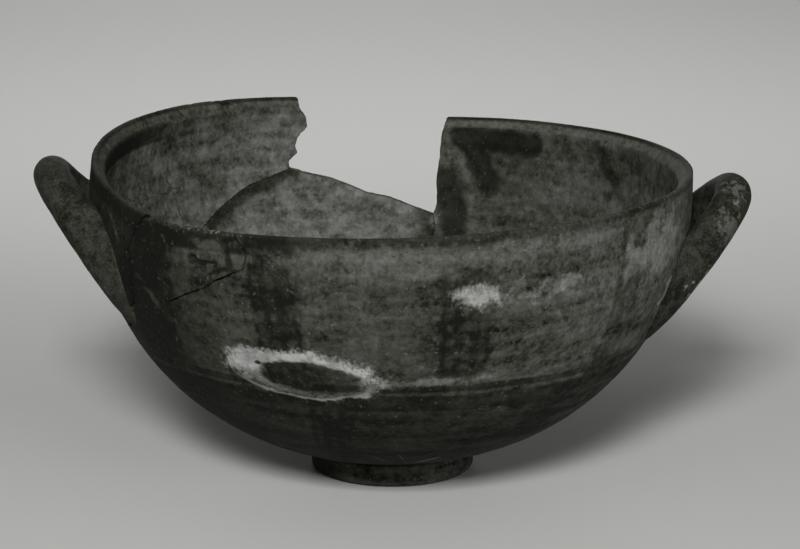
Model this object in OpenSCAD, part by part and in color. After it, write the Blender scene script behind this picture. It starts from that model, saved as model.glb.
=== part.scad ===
// Hand-built clay bowl with two upright loop handles, mended from its broken pieces.
// +Z is up, the handles lie along X, and the origin is the middle of the foot's flat underside.

/* [Bowl] */
// Outside diameter of the rim
rim_d = 240; // [226:1:256]
// Height of the middle of the rim above the table
bowl_h = 122; // [112:1:132]
// Thickness of the wall
wall_t = 6.5; // [5:0.5:8]
// Height of the upright band under the rim
rim_band_h = 7; // [5:0.5:12]
// Slant of the rim, which stands higher over the right handle, in degrees
rim_slant = 1.2; // [0:0.1:2]
// Drop of the lip's bevel from its outer to its inner edge
lip_drop = 4; // [2:0.5:5]
// Rounding of the lip's edges
lip_round = 1.6; // [0.8:0.1:2.2]

/* [Foot] */
// Diameter of the foot
foot_d = 66; // [54:1:80]
// Height of the foot under the middle of the bowl
foot_h = 8.3; // [6:0.1:11]
// Rounding of the foot's edges
foot_round = 2.4; // [1:0.1:3]

/* [Handles] */
// Thickness of the clay roll that each handle is bent from
handle_d = 15; // [12:0.5:17]
// Extra thickness of the roll round the bend at a handle's tip
tip_swell = 0.2; // [0.1:0.1:0.6]
// Width of a handle between the middles of its legs
handle_w = 62.6; // [54:0.2:72]
// Reach of a handle along its own slant, from its roots to the middle of its tip
handle_reach = 48; // [42:1:56]
// Lean of the right handle away from upright, in degrees
right_lean = 39.6; // [34:0.2:44]
// Lean of the left handle away from upright, in degrees
left_lean = 33.8; // [30:0.2:44]
// Height of the right handle's roots
right_root_h = 76.3; // [72:0.1:82]
// Height of the left handle's roots, raised with the piece that carries them
left_root_h = 84.1; // [78:0.1:88]
// Turn of the left handle round the bowl towards the front, in degrees
left_turn = 7.2; // [0:0.2:9]
// Depth of the middle of a root inside the face of the wall before it broke
handle_root_depth = 2.8; // [1:0.1:4]
// Bend of a handle at its tip, to the middle of the roll
handle_tip_r = 22; // [18:0.5:24]
// Bend of a root, which runs down the wall and sinks into it
root_bend_r = 40; // [34:1:60]
// Turn of a root through its bend, in degrees
root_turn = 28.65; // [24:0.05:34]
// Thickness of the luting clay that seats a root against the wall
fillet_d = 26; // [25.5:0.5:28]
// Length of the luting clay along a root
fillet_l = 50; // [48:1:54]
// Rise of the middle of the luting clay above the start of the root
fillet_rise = 5; // [4:0.5:7]
// Depth of the middle of the luting clay under the middle of the root
fillet_depth = 3.9; // [3.5:0.1:4.1]
// Lean of the luting clay towards the wall from the handle's own lean, in degrees
fillet_turn = 10; // [6:0.5:14]

/* [Mend] */
// Open joint between two mended pieces
seam = 0.2; // [0.1:0.05:0.4]
// Angle by which the left piece has slid up round the bowl before it was glued, in degrees
slip = 9; // [0:0.5:11]
// Drop of the left piece after it slid
slip_drop = 4; // [0:0.5:8]
// Distance that the left piece sits outside the line of the wall
slip_out = 1.1; // [0:0.1:2]
// Distance that the rear piece sits outside the line of the wall
rear_out = 2.4; // [0:0.1:3]

/* [Hidden] */
$fn = 144;
fine_fn = 288;
rim_r = rim_d / 2;
foot_r = foot_d / 2;
// Height of the middle of the arc that rounds the wall, and that arc's radius
belly_z = bowl_h - rim_band_h;
belly_r = belly_z - foot_h;
// Cuts run this far past the faces that they cut
overrun = wall_t;
// Share of its own radius by which each rounding of the lip is centred inside the wall's face
lip_share = 0.88;
// Broken pieces are cut by cones that spread from a point on the bowl's axis
cone_tip_share = 0.78;
cone_share = 1.25;
cone_peak_share = 1.6;
cone_tip_z = bowl_h * cone_tip_share;
cone_r = rim_r * cone_share;
cone_peak_r = rim_r * cone_peak_share;
// Azimuth towards which the left piece has slid
slip_azimuth = 146;
// Azimuth towards which the rear piece stands out
rear_azimuth = 105;
// Half of the angle that the bend at a handle's tip spans, and how far it laps over the side bends
tip_turn = 50;
tip_lap = 1;
// Bend of a handle's sides, and where along its lean each side bend starts
side_r = (handle_w / 2 - handle_tip_r * sin(tip_turn)) / (1 - sin(tip_turn));
side_end = handle_reach - handle_tip_r - (side_r - handle_tip_r) * cos(tip_turn);

// Break lines, each point an azimuth in degrees and a share of the bowl's height.
// Azimuth 0 is the right handle, 90 the rear and 180 the left handle.
left_break_shares = [[110.2, 1.3], [110.4, 1.06], [109, 1.02], [108.6, 0.985], [110.7, 0.95],
    [111.4, 0.915], [110.8, 0.89], [112.9, 0.86], [112.7, 0.832]];
left_under_shares = [[118, 0.805], [123.1, 0.785], [128.8, 0.74], [134.4, 0.69], [142, 0.615],
    [152, 0.545], [166, 0.505], [180, 0.5], [192, 0.51], [200, 0.535], [206, 0.6], [210.5, 0.68],
    [212.2, 0.78], [213, 0.87], [215.5, 0.93], [219.5, 1]];
left_top_shares = [[220, 1.3], [195, 1.3], [168, 1.3], [140, 1.3]];
gap_floor_shares = [[108.6, 0.806], [103.4, 0.784], [99.6, 0.757], [95.1, 0.724], [90.6, 0.709],
    [86, 0.679], [80.8, 0.647]];
gap_right_shares = [[80, 0.69], [80.1, 0.73], [80.3, 0.765], [80.1, 0.82], [79.6, 0.89],
    [79.2, 0.955], [78.3, 1.02], [78, 1.3]];
rear_under_shares = [[80.2, 0.6], [81, 0.54], [84.5, 0.47], [93, 0.42], [104, 0.4], [116, 0.425],
    [127, 0.47], [137, 0.53]];
front_outline_shares = [[221, 1], [221.6, 0.86], [223.4, 0.72], [229, 0.765], [234, 0.8],
    [236.4, 0.828], [239.3, 0.85], [242.6, 0.875], [243.4, 0.925], [241, 0.975], [240.6, 1.3],
    [221, 1.3]];

function reversed(list) = [for (i = [len(list) - 1 : -1 : 0]) list[i]];

left_outline_shares = concat(left_break_shares, left_under_shares, left_top_shares);
gap_outline_shares = concat(reversed(left_break_shares), [[94, 1.3]],
    reversed(gap_right_shares), reversed(gap_floor_shares));
rear_outline_shares = concat([left_break_shares[8]], gap_floor_shares, rear_under_shares,
    [left_under_shares[4], left_under_shares[3], left_under_shares[2], left_under_shares[1],
     left_under_shares[0]]);

// Radius of the outside of the wall at a height
function wall_r(z) = rim_r - belly_r
    + sqrt(belly_r * belly_r - pow(min(z - belly_z, 0), 2));

// Half section of everything inside a face that lies a depth under the outside of the wall
module bowl_section(depth, top) {
    arc_r = belly_r - depth;
    arc_x = rim_r - belly_r;
    translate([0, belly_z]) square([rim_r - depth, top - belly_z]);
    intersection() {
        translate([arc_x, belly_z]) circle(arc_r);
        translate([0, belly_z - arc_r]) square([rim_r, arc_r]);
    }
    if (arc_x > 0) translate([0, belly_z - arc_r]) square([arc_x, arc_r]);
}

// Section of the lip: a bevel that falls inwards, with both edges rounded
module lip_section() {
    set_in = lip_round * lip_share;
    outer = [rim_r - set_in, -lip_round];
    inner = [rim_r - wall_t + set_in, -lip_drop - lip_round];
    along = (outer - inner) / norm(outer - inner);
    up = [-along.y, along.x] * lip_round;
    depth = lip_drop + rim_band_h + overrun;
    translate(outer) circle(lip_round);
    translate(inner) circle(lip_round);
    polygon([outer + up, inner + up, inner, [inner.x, -depth], [outer.x, -depth], outer]);
    translate([rim_r - wall_t - overrun, -depth]) square([lip_round + overrun, depth + inner.y]);
    translate([outer.x, -depth]) square([lip_round + overrun, depth + outer.y]);
}

// Everything above the lip, on the slant of the rim
module mouth_cut() {
    high = rim_r + bowl_h;
    translate([0, 0, bowl_h]) rotate([0, -rim_slant, 0]) rotate_extrude() difference() {
        translate([0, -lip_drop - lip_round]) square([rim_r + 2 * overrun, high]);
        lip_section();
    }
}

// The whole wall before it broke
module wall() {
    top = bowl_h + rim_r * sin(rim_slant) + overrun;
    difference() {
        rotate_extrude() difference() {
            bowl_section(0, top);
            bowl_section(wall_t, top + overrun);
        }
        mouth_cut();
    }
}

// Solid inside the outside of the wall, with a thin margin for the open joint
module wall_tool(margin) {
    $fn = fine_fn;
    rotate_extrude() bowl_section(-margin, 2 * bowl_h);
}

// Unit normal to the right of a step from one point to the next
function side(a, b) = let (d = b - a) [d.y, -d.x] / norm(d);

// Closed outline widened by a margin, each corner mitred
function widened(points, margin) = let (n = len(points)) [for (i = [0 : n - 1])
    let (p = side(points[(i + n - 1) % n], points[i]), q = side(points[i], points[(i + 1) % n]))
        points[i] + margin * (p + q) / max(1 + p * q, 0.5)];

// Outline in arc length and height for a list of azimuths and shares of the height
function unrolled(shares) = [for (p = shares) [p.x * PI / 180 * rim_r, p.y * bowl_h]];

// Cone from the bowl's axis through an outline on the wall, widened by a margin.
// Outlines run anticlockwise as seen from outside the bowl.
module break_cone(shares, margin) {
    outline = widened(unrolled(shares), margin);
    n = len(outline);
    middle = [for (k = [0, 1]) sum([for (p = outline) p[k]]) / n];
    points = concat([[0, 0, cone_tip_z], on_cone(middle, cone_peak_r)],
        [for (p = outline) on_cone(p, cone_r)]);
    faces = [for (i = [0 : n - 1]) each [[0, 2 + i, 2 + (i + 1) % n], [1, 2 + (i + 1) % n, 2 + i]]];
    polyhedron(points, faces);
}

function sum(list, i = 0) = i < len(list) ? list[i] + sum(list, i + 1) : 0;

// Point of an unrolled outline, moved out from the cone's tip to a radius
function on_cone(p, r) = let (a = p.x / rim_r * 180 / PI)
    [r * cos(a), r * sin(a), cone_tip_z + (p.y - cone_tip_z) * r / rim_r];

// Where the left piece sits now
module slipped() {
    translate([0, 0, belly_z - slip_drop]) rotate([0, 0, slip_azimuth])
        translate([slip_out, 0, 0]) rotate([0, -slip, 0])
            rotate([0, 0, -slip_azimuth]) translate([0, 0, -belly_z]) children();
}

// Front, right and underside of the wall, still in one piece
module bowl_body() {
    color("#6b6c64") difference() {
        wall();
        break_cone(gap_outline_shares, 0);
        break_cone(left_outline_shares, seam);
        break_cone(rear_outline_shares, seam);
        break_cone(front_outline_shares, seam);
    }
}

// Low disc under the bowl, hollowed on top to seat the round underside
module foot_disc() {
    color("#55564e") difference() {
        rotate_extrude() foot_section();
        wall_tool(seam);
    }
}

// Half section of the foot up to the height at which its edge meets the bowl
module foot_section() {
    edge_h = belly_z - sqrt(belly_r * belly_r - pow(foot_r - rim_r + belly_r, 2));
    square([foot_r - foot_round, edge_h]);
    translate([0, foot_round]) square([foot_r, edge_h - 2 * foot_round]);
    for (z = [foot_round, edge_h - foot_round]) translate([foot_r - foot_round, z]) circle(foot_round);
}

// Left end of the bowl, which slid up before it was glued
module left_sherd() {
    color("#74756c") intersection() {
        slipped() wall();
        break_cone(left_outline_shares, 0);
    }
}

// Rear of the bowl below the missing piece
module rear_sherd() {
    color("#7b7c73") intersection() {
        rotate([0, 0, rear_azimuth]) translate([rear_out, 0, 0]) rotate([0, 0, -rear_azimuth]) wall();
        break_cone(rear_outline_shares, 0);
    }
}

// Small piece of the rim, glued back at the front beside the left handle
module front_left_sherd() {
    color("#5d5e56") intersection() {
        wall();
        break_cone(front_outline_shares, 0);
    }
}

// Frame of a handle over the right side: X across, Y along its lean and Z outwards
module handle_frame(lean, root_h) {
    root_x = sqrt(pow(wall_r(root_h), 2) - pow(handle_w / 2, 2)) - handle_root_depth;
    translate([root_x, 0, root_h]) rotate([0, lean, 0]) rotate([90, 0, 90]) children();
}

// Moves a handle over to the left side, which turns it front to rear
module on_left() {
    rotate([0, 0, 180 + left_turn]) children();
}

// One leg of a clay roll: an open bend, then a root that bends in through the wall.
// Edge is 1 or -1, for the leg that stands towards X or away from it in the handle's frame.
module leg(edge, d) {
    rotate([0, 90 - 90 * edge, 0]) translate([handle_w / 2 - side_r, side_end])
        rotate_extrude(angle = 90 - tip_turn) translate([side_r, 0]) circle(d = d);
    translate([edge * handle_w / 2, side_end, -root_bend_r]) rotate([180, -90, 0])
        rotate_extrude(angle = root_turn) translate([root_bend_r, 0]) circle(d = d);
}

// Clay roll of a handle: a close bend at the tip between two legs
module handle_roll(lean, root_h) {
    handle_frame(lean, root_h) {
        translate([0, handle_reach - handle_tip_r]) rotate(90 - tip_turn - tip_lap)
            rotate_extrude(angle = 2 * (tip_turn + tip_lap))
                translate([handle_tip_r, 0]) circle(d = handle_d + tip_swell);
        leg(1, handle_d);
        leg(-1, handle_d);
    }
}

// Spindle that swells from a point at each end
module spindle(d, l) {
    r = (l * l / 4 + d * d / 4) / d;
    rotate_extrude() intersection() {
        translate([d / 2 - r, 0]) circle(r);
        translate([0, -l / 2]) square([d / 2, l]);
    }
}

// Luting clay laid round the root of one leg
module luting(edge, lean, root_h) {
    around = asin(edge * handle_w / 2 / wall_r(root_h));
    handle_frame(lean - fillet_turn, root_h)
        translate([edge * handle_w / 2, fillet_rise]) rotate([0, around, 0])
            translate([0, 0, -fillet_depth]) rotate([-90, 0, 0]) spindle(fillet_d, fillet_l);
}

// Space that one leg takes out of its luting clay
module leg_space(edge, lean, root_h) {
    handle_frame(lean, root_h) leg(edge, handle_d + 2 * seam);
}

// Pares what stands on the right side back to the wall
module pared_right() {
    difference() {
        children();
        wall_tool(seam);
    }
}

// Pares what stands on the left side back to the piece that slid
module pared_left() {
    difference() {
        on_left() children();
        slipped() wall_tool(seam);
    }
}

module right_fillet(edge) {
    difference() {
        pared_right() luting(edge, right_lean, right_root_h);
        leg_space(edge, right_lean, right_root_h);
    }
}

module left_fillet(edge) {
    difference() {
        pared_left() luting(edge, left_lean, left_root_h);
        on_left() leg_space(edge, left_lean, left_root_h);
    }
}

module right_handle() {
    color("#62635b") pared_right() handle_roll(right_lean, right_root_h);
}

module right_front_fillet() {
    color("#6f7067") right_fillet(-1);
}

module right_rear_fillet() {
    color("#6f7067") right_fillet(1);
}

module left_handle() {
    color("#595a52") pared_left() handle_roll(left_lean, left_root_h);
}

module left_front_fillet() {
    color("#6f7067") left_fillet(1);
}

module left_rear_fillet() {
    color("#6f7067") left_fillet(-1);
}

bowl_body();
foot_disc();
left_sherd();
rear_sherd();
front_left_sherd();
left_handle();
right_handle();
left_front_fillet();
left_rear_fillet();
right_front_fillet();
right_rear_fillet();
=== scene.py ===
import functools
import math
import bpy
import numpy as np
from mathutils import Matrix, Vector


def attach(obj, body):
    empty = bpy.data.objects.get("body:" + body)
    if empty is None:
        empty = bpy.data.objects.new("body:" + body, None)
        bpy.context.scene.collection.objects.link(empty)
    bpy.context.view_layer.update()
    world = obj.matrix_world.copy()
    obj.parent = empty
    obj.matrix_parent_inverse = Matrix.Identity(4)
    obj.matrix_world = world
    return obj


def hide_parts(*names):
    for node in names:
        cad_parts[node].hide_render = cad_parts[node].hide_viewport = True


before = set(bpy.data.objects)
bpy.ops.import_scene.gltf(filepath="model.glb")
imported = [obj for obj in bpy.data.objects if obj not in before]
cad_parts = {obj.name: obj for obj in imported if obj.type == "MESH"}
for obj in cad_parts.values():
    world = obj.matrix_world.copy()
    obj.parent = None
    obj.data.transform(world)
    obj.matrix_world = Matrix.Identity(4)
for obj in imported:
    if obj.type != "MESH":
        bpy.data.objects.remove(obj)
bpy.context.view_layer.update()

MM = 0.001

# Sizes of the bowl in millimetres and degrees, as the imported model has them.
RIM_R = 120.0                 # outside radius of the rim
BOWL_H = 122.0                # height of the rim
RIM_SLANT = 1.2               # the rim rises by this angle towards the right
BELLY_Z = 115.0               # height of the middle of the wall's arc
BELLY_R = 106.7               # radius of the wall's arc
RING_R = RIM_R - BELLY_R      # how far the arc's middle stands out from the axis
WALL = 6.5
HANDLE_R = 7.5                # radius of the clay roll
HANDLE_HALF = 31.3            # half the distance between a handle's roots
HANDLE_REACH = 48.0           # from the root line to the top of the loop
TIP_R = 22.0                  # radius of the loop's top
TIP_TURN = 50.0               # how far round the top is bent by that radius, each side
ROOT_TURN = 28.65             # how far a root bends in towards the wall
ROOT_BEND = 40.0              # radius of that bend
ROOT_DEPTH = 2.8              # how far the root line lies under the wall's outside
RIGHT = dict(lean=39.6, root_h=76.3, turn=0.0)
LEFT = dict(lean=33.8, root_h=84.1, turn=187.2)
# The left piece was glued back tilted about a level line at SLIP_AZ, lower and further out.
SLIP, SLIP_AZ, SLIP_DROP, SLIP_OUT = 9.0, 146.0, 4.0, 1.1
# The rear piece stands out from the wall in this direction.
REAR_AZ, REAR_OUT = 105.0, 2.4

VOXEL = 0.7
FINE_VOXEL = 0.5
SEEDS = dict(wall=11, left=23, rear=37, foot=41, right_loop=53, left_loop=67)


# Numbers.

CELL_PRIMES = (374761393, 668265263, 1274126177)
SEED_PRIME, MIX_PRIME, MIX_STEP = 144665537, 1103515245, 12345
WORD, FRACTION = 0xFFFFFFFF, 0xFFFFFF
OCTAVE_SEED_STEP = 17
TINY = 1e-6


def hashed(i, j, k, seed):
    """One repeatable value from 0 to 1 for each whole-number cell."""
    h = sum(v.astype(np.int64) * prime for v, prime in zip((i, j, k), CELL_PRIMES))
    h = (h + seed * SEED_PRIME) & WORD
    h = ((h ^ (h >> 13)) * MIX_PRIME + MIX_STEP) & WORD
    h = ((h ^ (h >> 15)) * CELL_PRIMES[1]) & WORD
    return ((h ^ (h >> 16)) & FRACTION) / float(FRACTION)


def soft_noise(p, size, seed):
    """Smooth noise from -1 to 1, with lumps about size across."""
    q = p / size
    base = np.floor(q)
    f = q - base
    f = f * f * (3 - 2 * f)
    total = 0.0
    for a in (0, 1):
        for b in (0, 1):
            for c in (0, 1):
                w = ((f[:, 0] if a else 1 - f[:, 0]) * (f[:, 1] if b else 1 - f[:, 1])
                     * (f[:, 2] if c else 1 - f[:, 2]))
                total = total + w * hashed(base[:, 0] + a, base[:, 1] + b, base[:, 2] + c, seed)
    return 2 * total - 1


def layered(p, size, seed, octaves):
    """Noise of several sizes added up, each half as large and half as strong as the one before."""
    total, norm = 0.0, 0.0
    for k in range(octaves):
        share = 0.5 ** k
        total = total + share * soft_noise(p, size * share, seed + OCTAVE_SEED_STEP * k)
        norm += share
    return total / norm


def ease(x, low, high):
    """0 up to low and 1 from high, smooth between them."""
    t = np.clip((x - low) / (high - low), 0, 1)
    return t * t * (3 - 2 * t)


def unit(v):
    return v / np.maximum(np.linalg.norm(v, axis=-1), TINY)[..., None]


# Places.

WORN_LEVEL = (64, 94)         # heights between which the left piece's lower edge is worn level


def wall_depth(p):
    """Depth under the outside of the wall and the outward direction, in the wall's own frame."""
    r = np.maximum(np.hypot(p[:, 0], p[:, 1]), TINY)
    low = np.minimum(p[:, 2] - BELLY_Z, 0)
    rho = np.maximum(np.hypot(r - RING_R, low), TINY)
    out = (r - RING_R) / rho / r
    return BELLY_R - rho, np.stack([out * p[:, 0], out * p[:, 1], low / rho], 1)


def turned(p, axis, degrees):
    c, s = math.cos(math.radians(degrees)), math.sin(math.radians(degrees))
    i, j = {"x": (1, 2), "y": (2, 0), "z": (0, 1)}[axis]
    q = p.copy()
    q[:, i] = c * p[:, i] - s * p[:, j]
    q[:, j] = s * p[:, i] + c * p[:, j]
    return q


def slipped(p):
    """Moves points with the left piece, from where they were fired to where they are now."""
    q = turned(p - [0, 0, BELLY_Z], "z", -SLIP_AZ)
    q = turned(q, "y", -SLIP) + [SLIP_OUT, 0, 0]
    return turned(q, "z", SLIP_AZ) + [0, 0, BELLY_Z - SLIP_DROP]


def unslipped(p):
    """The way back from slipped."""
    q = turned(p - [0, 0, BELLY_Z - SLIP_DROP], "z", -SLIP_AZ) - [SLIP_OUT, 0, 0]
    return turned(turned(q, "y", SLIP), "z", SLIP_AZ) + [0, 0, BELLY_Z]


def slid(p):
    """As slipped, with the piece's lower edge worn level with the wall beside it."""
    q = slipped(p)
    d, outward = wall_depth(q)
    proud = (wall_depth(p)[0] - d) * (1 - ease(q[:, 2], *WORN_LEVEL))
    return q - outward * proud[:, None]


def same(p):
    return p


def rear_out(p):
    """Moves points with the rear piece, from where they were fired to where they are now."""
    a = math.radians(REAR_AZ)
    return p + np.array([math.cos(a), math.sin(a), 0]) * REAR_OUT


def rear_back(p):
    """The way back from rear_out."""
    return 2 * p - rear_out(p)


def directed(move, v):
    """What a move of points does to directions."""
    return move(v) - move(np.zeros_like(v))


# Meshes.

def make(name, points, faces):
    """An object from points in millimetres, smooth shaded."""
    mesh = bpy.data.meshes.new(name)
    mesh.from_pydata([tuple(v) for v in (points * MM).tolist()], [], faces)
    mesh.validate()
    mesh.shade_smooth()
    obj = bpy.data.objects.new(name, mesh)
    bpy.context.scene.collection.objects.link(obj)
    return obj


def coords(mesh):
    out = np.empty(len(mesh.vertices) * 3)
    mesh.vertices.foreach_get("co", out)
    return out.reshape(-1, 3) / MM


def normals(mesh):
    out = np.empty(len(mesh.vertices) * 3, dtype=np.float32)
    mesh.vertex_normals.foreach_get("vector", out)
    return out.reshape(-1, 3).astype(float)


def put(mesh, points):
    mesh.vertices.foreach_set("co", (points * MM).ravel())
    mesh.update()


def fine_copy(node, name, voxel):
    """A copy of a CAD node's solid with an even, fine mesh."""
    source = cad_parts[node]
    copy = bpy.data.objects.new(name, source.data.copy())
    bpy.context.scene.collection.objects.link(copy)
    mod = copy.modifiers.new("even", "REMESH")
    mod.mode = "VOXEL"
    mod.voxel_size = voxel * MM
    graph = bpy.context.evaluated_depsgraph_get()
    mesh = bpy.data.meshes.new_from_object(copy.evaluated_get(graph), depsgraph=graph)
    copy.modifiers.clear()
    old = copy.data
    copy.data = mesh
    mesh.name = name
    bpy.data.meshes.remove(old)
    mesh.shade_smooth()
    return copy


# Wall.

SNAP = 1.6                    # a face this close to the true curve is moved on to it
FACE_SURE = (0.75, 0.95)      # how squarely a face of the wall looks in or out
FACE_BROKEN = (0.35, 0.8)     # how squarely a broken face doesn't
BREAK_EDGE = (0.2, 1.2)       # a break is smooth this close to the wall's two faces
LIP_BELOW = (6, 2)            # the lip starts and is full this far below the rim
LEVEL_FACE = 0.5
# Relief: height, size of the lumps, step of the seed, octaves.
SWELL, SWELL_SUNK = (0.34, 46, 0, 2), 0.26
WIPED, WIPED_SQUASH = (0.10, 7, 5, 2), (0.25, 0.25, 1.6)
RAGGED, RAGGED_OUT = (0.5, 4.2, 13, 3), 0.08
# Pits: the same, then the noise at which a pit starts and is deepest.
PITS = ((0.4, 5.5, 9, 2, 0.50, 0.85), (0.25, 2.4, 10, 1, 0.62, 0.9))
SCAR_WAVE = (0.22, 5, 21, 2)


def relief(p, seed, height, size, step, octaves):
    return height * layered(p, size, seed + step, octaves)


def dent(p, centre, radius):
    """Pushes points out of a ball, which leaves the scar of a chip."""
    d = p - np.array(centre)
    r = np.linalg.norm(d, axis=1)
    inside = r < radius
    out = p.copy()
    out[inside] += d[inside] * ((radius / np.maximum(r[inside], TINY)) - 1)[:, None]
    return out


def scarred(p, inward, seed, scars):
    """Sinks the outside of the wall where flakes came off."""
    turn = np.degrees(np.arctan2(p[:, 0], -p[:, 1]))
    for middle, z, half_turn, half_z, deep, edge in scars:
        e = np.hypot((turn - middle) / half_turn, (p[:, 2] - z) / half_z)
        e = e + relief(p, seed, *SCAR_WAVE)
        p = p + inward * (deep * (1 - ease(e, 1 - edge, 1)))[:, None]
    return p


def wall_piece(node, name, voxel, home, away, seed, chips=(), scars=()):
    """A wall piece: its faces follow the true curve, with hand-made relief and rough breaks."""
    obj = fine_copy(node, name, voxel)
    p = home(coords(obj.data))
    n = directed(home, normals(obj.data))
    d, outward = wall_depth(p)
    facing = (n * outward).sum(1)
    w_out = ease(facing, *FACE_SURE) * (np.abs(d) < SNAP)
    w_in = ease(-facing, *FACE_SURE) * (np.abs(d - WALL) < SNAP)
    p = p + outward * (d * w_out + (d - WALL) * w_in)[:, None]
    rough = (1 - ease(np.abs(facing), *FACE_BROKEN)) * ease(d, *BREAK_EDGE)
    rough *= 1 - ease(d, WALL - BREAK_EDGE[1], WALL - BREAK_EDGE[0])
    lip = ease(p[:, 2], BOWL_H - LIP_BELOW[0], BOWL_H - LIP_BELOW[1])
    rough *= 1 - lip * (np.abs(n[:, 2]) > LEVEL_FACE)
    calm = relief(p, seed, *SWELL) - SWELL_SUNK + relief(p * WIPED_SQUASH, seed, *WIPED)
    for deep, size, step, octaves, low, high in PITS:
        calm = calm - deep * ease(layered(p, size, seed + step, octaves), low, high)
    ragged = relief(p, seed, *RAGGED) + RAGGED_OUT
    p = p + n * (calm * (1 - 0.5 * rough) + ragged * rough)[:, None]
    p = away(scarred(p, -outward * w_out[:, None], seed, scars))
    for centre, radius in chips:
        p = dent(p, centre, radius)
    put(obj.data, p)
    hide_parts(node)
    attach(obj, "root")
    return obj


def rim_chip(azimuth, out, up, radius):
    """A chip on the rim: the ball's centre sits out from the edge and up."""
    a = math.radians(azimuth)
    z = BOWL_H + RIM_R * math.cos(a) * math.tan(math.radians(RIM_SLANT))
    r = RIM_R + out
    return (np.array([r * math.cos(a), r * math.sin(a), z + up]), radius)


# Handles.

LINE_STEP = 0.8               # distance between points along a handle
ROLL_SIDES = 96
# Relief of the roll, as for the wall.
LUMPS, LUMPS_SUNK, FINE_LUMPS = (0.32, 15, 0, 2), 0.22, (0.10, 3.5, 3, 2)
SPREAD = 4.6                  # how far a root spreads on the wall
SPREAD_CLEAR = 0.3            # height over the wall at which the spread is full
SPREAD_FADE = 3.2             # height in which it falls to a third
SPREAD_UNEVEN = (0.25, 9, 7, 2)
SINK_LIMIT = 1.2              # no point of a roll lies deeper in the wall than this


def handle_line():
    """Centre line of a handle in its own frame: X across, Y along the lean, Z outwards."""
    s, c = math.sin(math.radians(TIP_TURN)), math.cos(math.radians(TIP_TURN))
    side_r = (HANDLE_HALF - TIP_R * s) / (1 - s)
    side_end = HANDLE_REACH - TIP_R - (side_r - TIP_R) * c
    half = []
    for a in np.arange(math.radians(ROOT_TURN), 0, -LINE_STEP / ROOT_BEND):
        half.append((HANDLE_HALF, side_end - ROOT_BEND * math.sin(a),
                     -ROOT_BEND * (1 - math.cos(a))))
    span = math.radians(90 - TIP_TURN)
    for a in np.linspace(0, span, int(side_r * span / LINE_STEP))[:-1]:
        half.append((HANDLE_HALF - side_r + side_r * math.cos(a),
                     side_end + side_r * math.sin(a), 0))
    tip_points = int(TIP_R * math.radians(TIP_TURN) / LINE_STEP)
    for a in np.linspace(span, math.pi / 2, tip_points):
        half.append((TIP_R * math.cos(a), HANDLE_REACH - TIP_R + TIP_R * math.sin(a), 0))
    half = np.array(half)
    return np.vstack([half, (half * [-1, 1, 1])[-2::-1]])


def handle_place(q, lean, root_h, turn):
    """From the handle's own frame to the bowl's."""
    low = root_h - BELLY_Z
    wall_r = RING_R + math.sqrt(BELLY_R ** 2 - low ** 2)
    root_x = math.sqrt(wall_r ** 2 - HANDLE_HALF ** 2) - ROOT_DEPTH
    p = np.stack([q[:, 2], q[:, 0], q[:, 1]], 1)
    p = turned(p, "y", lean) + [root_x, 0, root_h]
    return turned(p, "z", turn)


def swept_roll(line):
    """Rings of points round a line, without twist, and each point's direction from the line."""
    tangent = unit(np.gradient(line, axis=0))
    across = np.zeros_like(line)
    across[0] = unit(np.cross(tangent[0], [0, 0, 1.0]))
    for i in range(1, len(line)):
        across[i] = unit(across[i - 1] - tangent[i] * (across[i - 1] @ tangent[i]))
    up = np.cross(tangent, across)
    ang = np.arange(ROLL_SIDES) * 2 * math.pi / ROLL_SIDES
    c, s = np.cos(ang)[None, :, None], np.sin(ang)[None, :, None]
    e = across[:, None, :] * c + up[:, None, :] * s
    return (line[:, None, :] + HANDLE_R * e).reshape(-1, 3), e.reshape(-1, 3)


def closed_roll(p):
    """The rings' points and faces, with a fan of faces over each end."""
    rings = len(p) // ROLL_SIDES
    first, last, end_ring = len(p), len(p) + 1, (rings - 1) * ROLL_SIDES
    faces = []
    for i in range(rings - 1):
        for k in range(ROLL_SIDES):
            a, b = i * ROLL_SIDES + k, i * ROLL_SIDES + (k + 1) % ROLL_SIDES
            faces.append((a, b, b + ROLL_SIDES, a + ROLL_SIDES))
    for k in range(ROLL_SIDES):
        faces.append((first, (k + 1) % ROLL_SIDES, k))
        faces.append((last, end_ring + k, end_ring + (k + 1) % ROLL_SIDES))
    return np.vstack([p, p[:ROLL_SIDES].mean(0), p[-ROLL_SIDES:].mean(0)]), faces


def handle_piece(name, nodes, pose, home, away, seed):
    """A rolled clay handle whose roots spread on to the wall."""
    p, e = swept_roll(handle_place(handle_line(), **pose))
    lumps = relief(p, seed, *LUMPS) - LUMPS_SUNK + relief(p, seed, *FINE_LUMPS)
    p = p + e * lumps[:, None]
    d, outward = wall_depth(home(p))
    back = directed(away, outward)
    flat = e - back * (e * back).sum(1)[:, None]
    spread = SPREAD * np.exp(-np.maximum(-d - SPREAD_CLEAR, 0) / SPREAD_FADE)
    spread = spread * (1 + relief(p, seed, *SPREAD_UNEVEN)) * np.linalg.norm(flat, axis=1)
    p = p + unit(flat) * spread[:, None]
    q = home(p)
    d, outward = wall_depth(q)
    q = q + outward * np.maximum(d - SINK_LIMIT, 0)[:, None]
    obj = make(name, *closed_roll(away(q)))
    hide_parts(*nodes)
    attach(obj, "root")
    return obj


# Pieces.

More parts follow.
